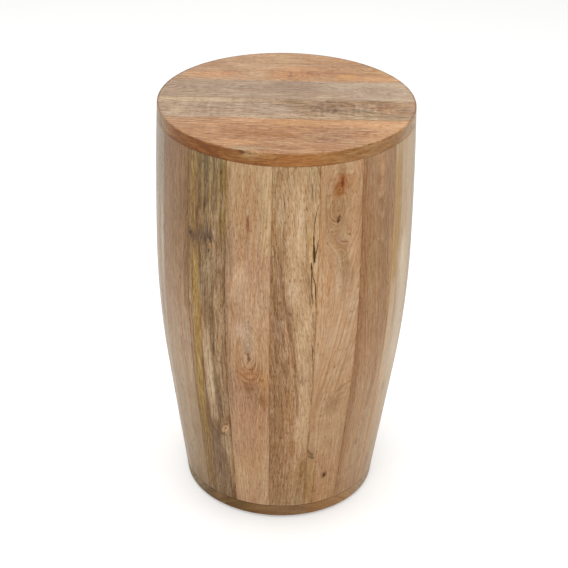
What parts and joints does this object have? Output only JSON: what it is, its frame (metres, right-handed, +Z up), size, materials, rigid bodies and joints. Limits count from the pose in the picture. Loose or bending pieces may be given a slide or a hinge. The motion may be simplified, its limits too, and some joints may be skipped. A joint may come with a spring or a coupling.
{
  "type": "drum side table",
  "caption": "Barrel-shaped wooden side table: bellied body of upright staves that narrows to the base, closed by a flat round board top flush with the body.",
  "frame": {"origin": "on the floor, on the axis of the drum, under the four glides", "axes": "+Z up along the axis of the drum to the table top; the boards of the top run along X, and -Y is the side that the picture shows in front"},
  "size_m": [0.359, 0.359, 0.6],
  "materials": {
    "mango_streaky": "satin clear lacquer over brown-stained mango wood",
    "mango_peach": "satin clear lacquer over brown-stained mango wood",
    "mango_brown": "satin clear lacquer over brown-stained mango wood",
    "mango_cream": "satin clear lacquer over brown-stained mango wood",
    "mango_tan": "satin clear lacquer over brown-stained mango wood",
    "mango_olive": "satin clear lacquer over brown-stained mango wood",
    "mango_rose": "satin clear lacquer over brown-stained mango wood",
    "top_peach": "satin clear lacquer over brown-stained mango wood",
    "top_taupe": "satin clear lacquer over brown-stained mango wood",
    "top_heart": "satin clear lacquer over brown-stained mango wood",
    "top_amber": "satin clear lacquer over brown-stained mango wood",
    "base_mango": "satin clear lacquer over brown-stained mango wood",
    "plywood": "raw plywood",
    "dowel_beech": "raw beech",
    "tongue_beech": "raw beech",
    "screw_steel": "zinc-plated steel",
    "glide_nylon": "brown nylon"
  },
  "bodies": {
    "root": {"stave_01": "mango_streaky", "stave_02": "mango_peach", "stave_03": "mango_brown", "stave_04": "mango_cream", "stave_05": "mango_tan", "stave_06": "mango_olive", "stave_07": "mango_rose", "stave_08": "mango_peach", "stave_09": "mango_streaky", "stave_10": "mango_tan", "stave_11": "mango_brown", "stave_12": "mango_olive", "stave_13": "mango_cream", "stave_14": "mango_rose", "stave_15": "mango_tan", "stave_16": "mango_rose", "stave_17": "mango_olive", "stave_18": "mango_tan", "top_board_1": "top_peach", "top_board_2": "top_taupe", "top_board_3": "top_heart", "top_board_4": "top_amber", "base_board_1": "base_mango", "base_board_2": "base_mango", "base_board_3": "base_mango", "base_board_4": "base_mango", "top_board_dowels": "dowel_beech", "base_board_dowels": "dowel_beech", "stave_tongues": "tongue_beech", "upper_ring": "plywood", "lower_ring": "plywood", "top_fixing_screws": "screw_steel", "base_fixing_screws": "screw_steel", "floor_glides": "glide_nylon", "glide_nails": "screw_steel"}
  },
  "joints": []
}
